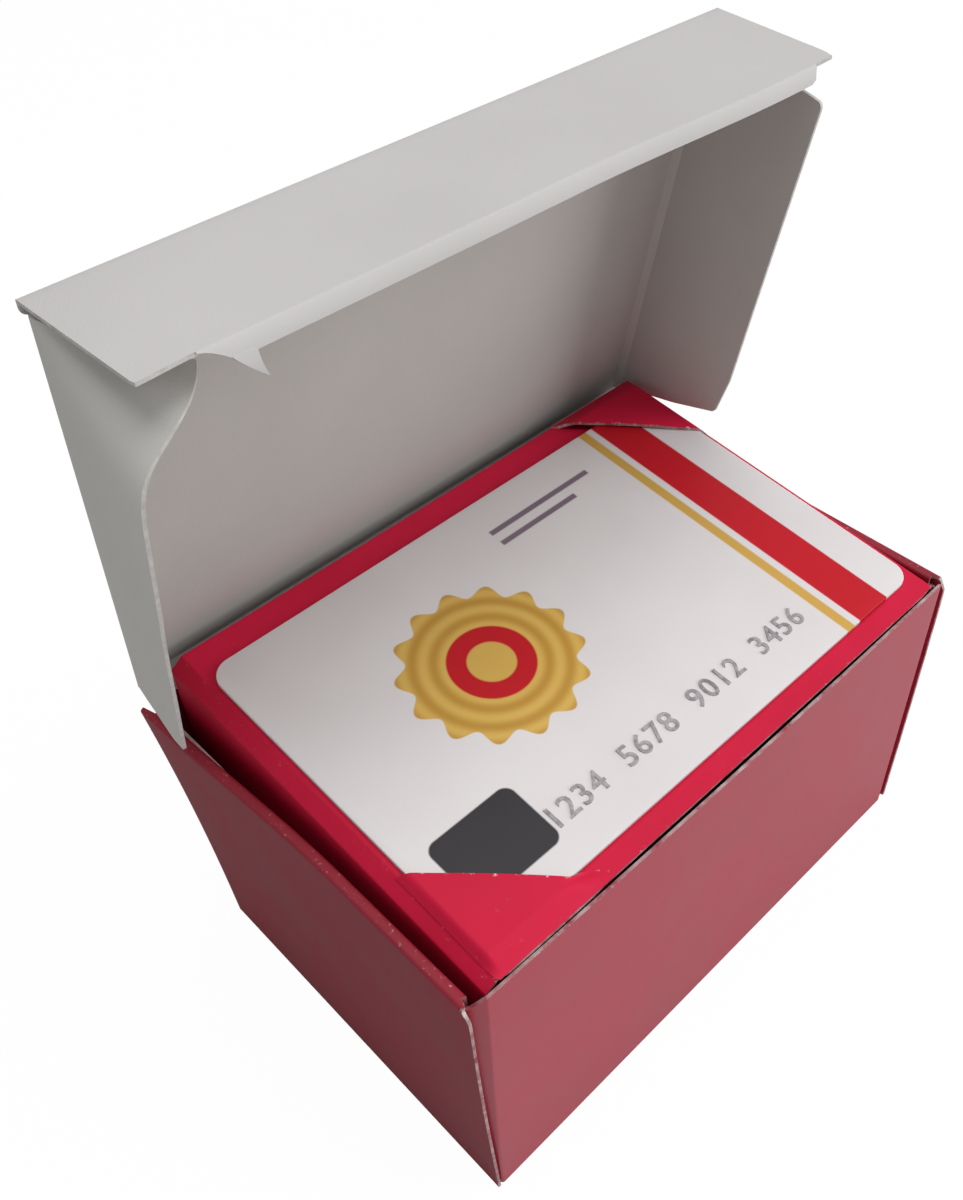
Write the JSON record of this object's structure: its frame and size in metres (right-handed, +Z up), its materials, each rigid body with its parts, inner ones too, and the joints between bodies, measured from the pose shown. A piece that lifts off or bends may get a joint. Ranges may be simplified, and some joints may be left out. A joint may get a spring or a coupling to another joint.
{
  "type": "gift card box",
  "caption": "Folding carton for a gift card: an open crimson tray with a hinged white lid, and a raised platform that holds the card by its corners.",
  "frame": {"origin": "under the middle of the tray, on the surface it stands on", "axes": "+X to the right seen from the front, the front faces -Y, +Z up"},
  "size_m": [0.096, 0.067, 0.1223],
  "materials": {
    "wall_board": "coated crimson printed board with a satin sheen and white cut edges",
    "wall_top_board": "coated crimson board rolled over, worn at its creases",
    "corner_board": "coated crimson board, dull along the creases",
    "inner_board": "crimson printed board on the side that shows",
    "platform_board": "coated crimson board with torn white fibres at its slits",
    "lid_board": "matt off-white uncoated board",
    "flap_board": "matt off-white uncoated board",
    "ear_board": "matt off-white uncoated board",
    "card_plastic": "satin white laminated card"
  },
  "bodies": {
    "tray": {"bottom_panel": "inner_board", "front_wall": "wall_board", "back_wall": "wall_board", "left_outer_wall": "wall_board", "right_outer_wall": "wall_board", "left_wall_top": "wall_top_board", "right_wall_top": "wall_top_board", "left_inner_wall": "inner_board", "right_inner_wall": "inner_board", "front_left_corner_tab": "corner_board", "front_right_corner_tab": "corner_board", "back_left_corner_tab": "corner_board", "back_right_corner_tab": "corner_board"},
    "hinge_strip": {"lid_hinge_strip": "lid_board"},
    "lid": {"lid_panel": "lid_board"},
    "front_flap": {"lid_front_flap": "flap_board"},
    "tuck_lip": {"lid_tuck_lip": "flap_board"},
    "left_ear": {"lid_left_ear": "ear_board"},
    "right_ear": {"lid_right_ear": "ear_board"},
    "platform": {"platform_top_panel": "platform_board", "platform_left_side": "platform_board", "platform_right_side": "platform_board"},
    "card": {"gift_card": "card_plastic"}
  },
  "joints": [
    {"name": "lid_hinge", "type": "hinge", "parent": "tray", "child": "hinge_strip", "pos_m": [0, 0.03234, 0.05502], "axis": [-1, 0, 0], "range_deg": [-76, 0]},
    {"name": "lid_fold_back", "type": "hinge", "parent": "hinge_strip", "child": "lid", "pos_m": [0, 0.03416, 0.05806], "axis": [-1, 0, 0], "range_deg": [0, 95]},
    {"name": "front_flap_crease", "type": "hinge", "parent": "lid", "child": "front_flap", "pos_m": [0, 0.01819, 0.12212], "axis": [1, 0, 0], "range_deg": [-79, 11]},
    {"name": "tuck_lip_crease", "type": "hinge", "parent": "front_flap", "child": "tuck_lip", "pos_m": [0, -0.00039, 0.12115], "axis": [1, 0, 0], "range_deg": [-50, 3]},
    {"name": "left_ear_crease", "type": "hinge", "parent": "lid", "child": "left_ear", "pos_m": [-0.04575, 0.02562, 0.08736], "axis": [0, -0.2419, 0.9703], "range_deg": [-90, 1]},
    {"name": "right_ear_crease", "type": "hinge", "parent": "lid", "child": "right_ear", "pos_m": [0.04575, 0.02562, 0.08736], "axis": [0, 0.2419, -0.9703], "range_deg": [-90, 1]},
    {"name": "platform_press", "type": "hinge", "parent": "tray", "child": "platform", "pos_m": [0, -0.03177, 0.05485], "axis": [1, 0, 0], "range_deg": [-6.5, 0]},
    {"name": "card_slide", "type": "slide", "parent": "platform", "child": "card", "axis": [0.7071, 0.7026, 0.08], "range_m": [-0.0004, 0.0004]}
  ],
  "couplings": [
    {"joint": "platform_press", "follows": "lid_hinge", "ratio": 0.085526}
  ]
}
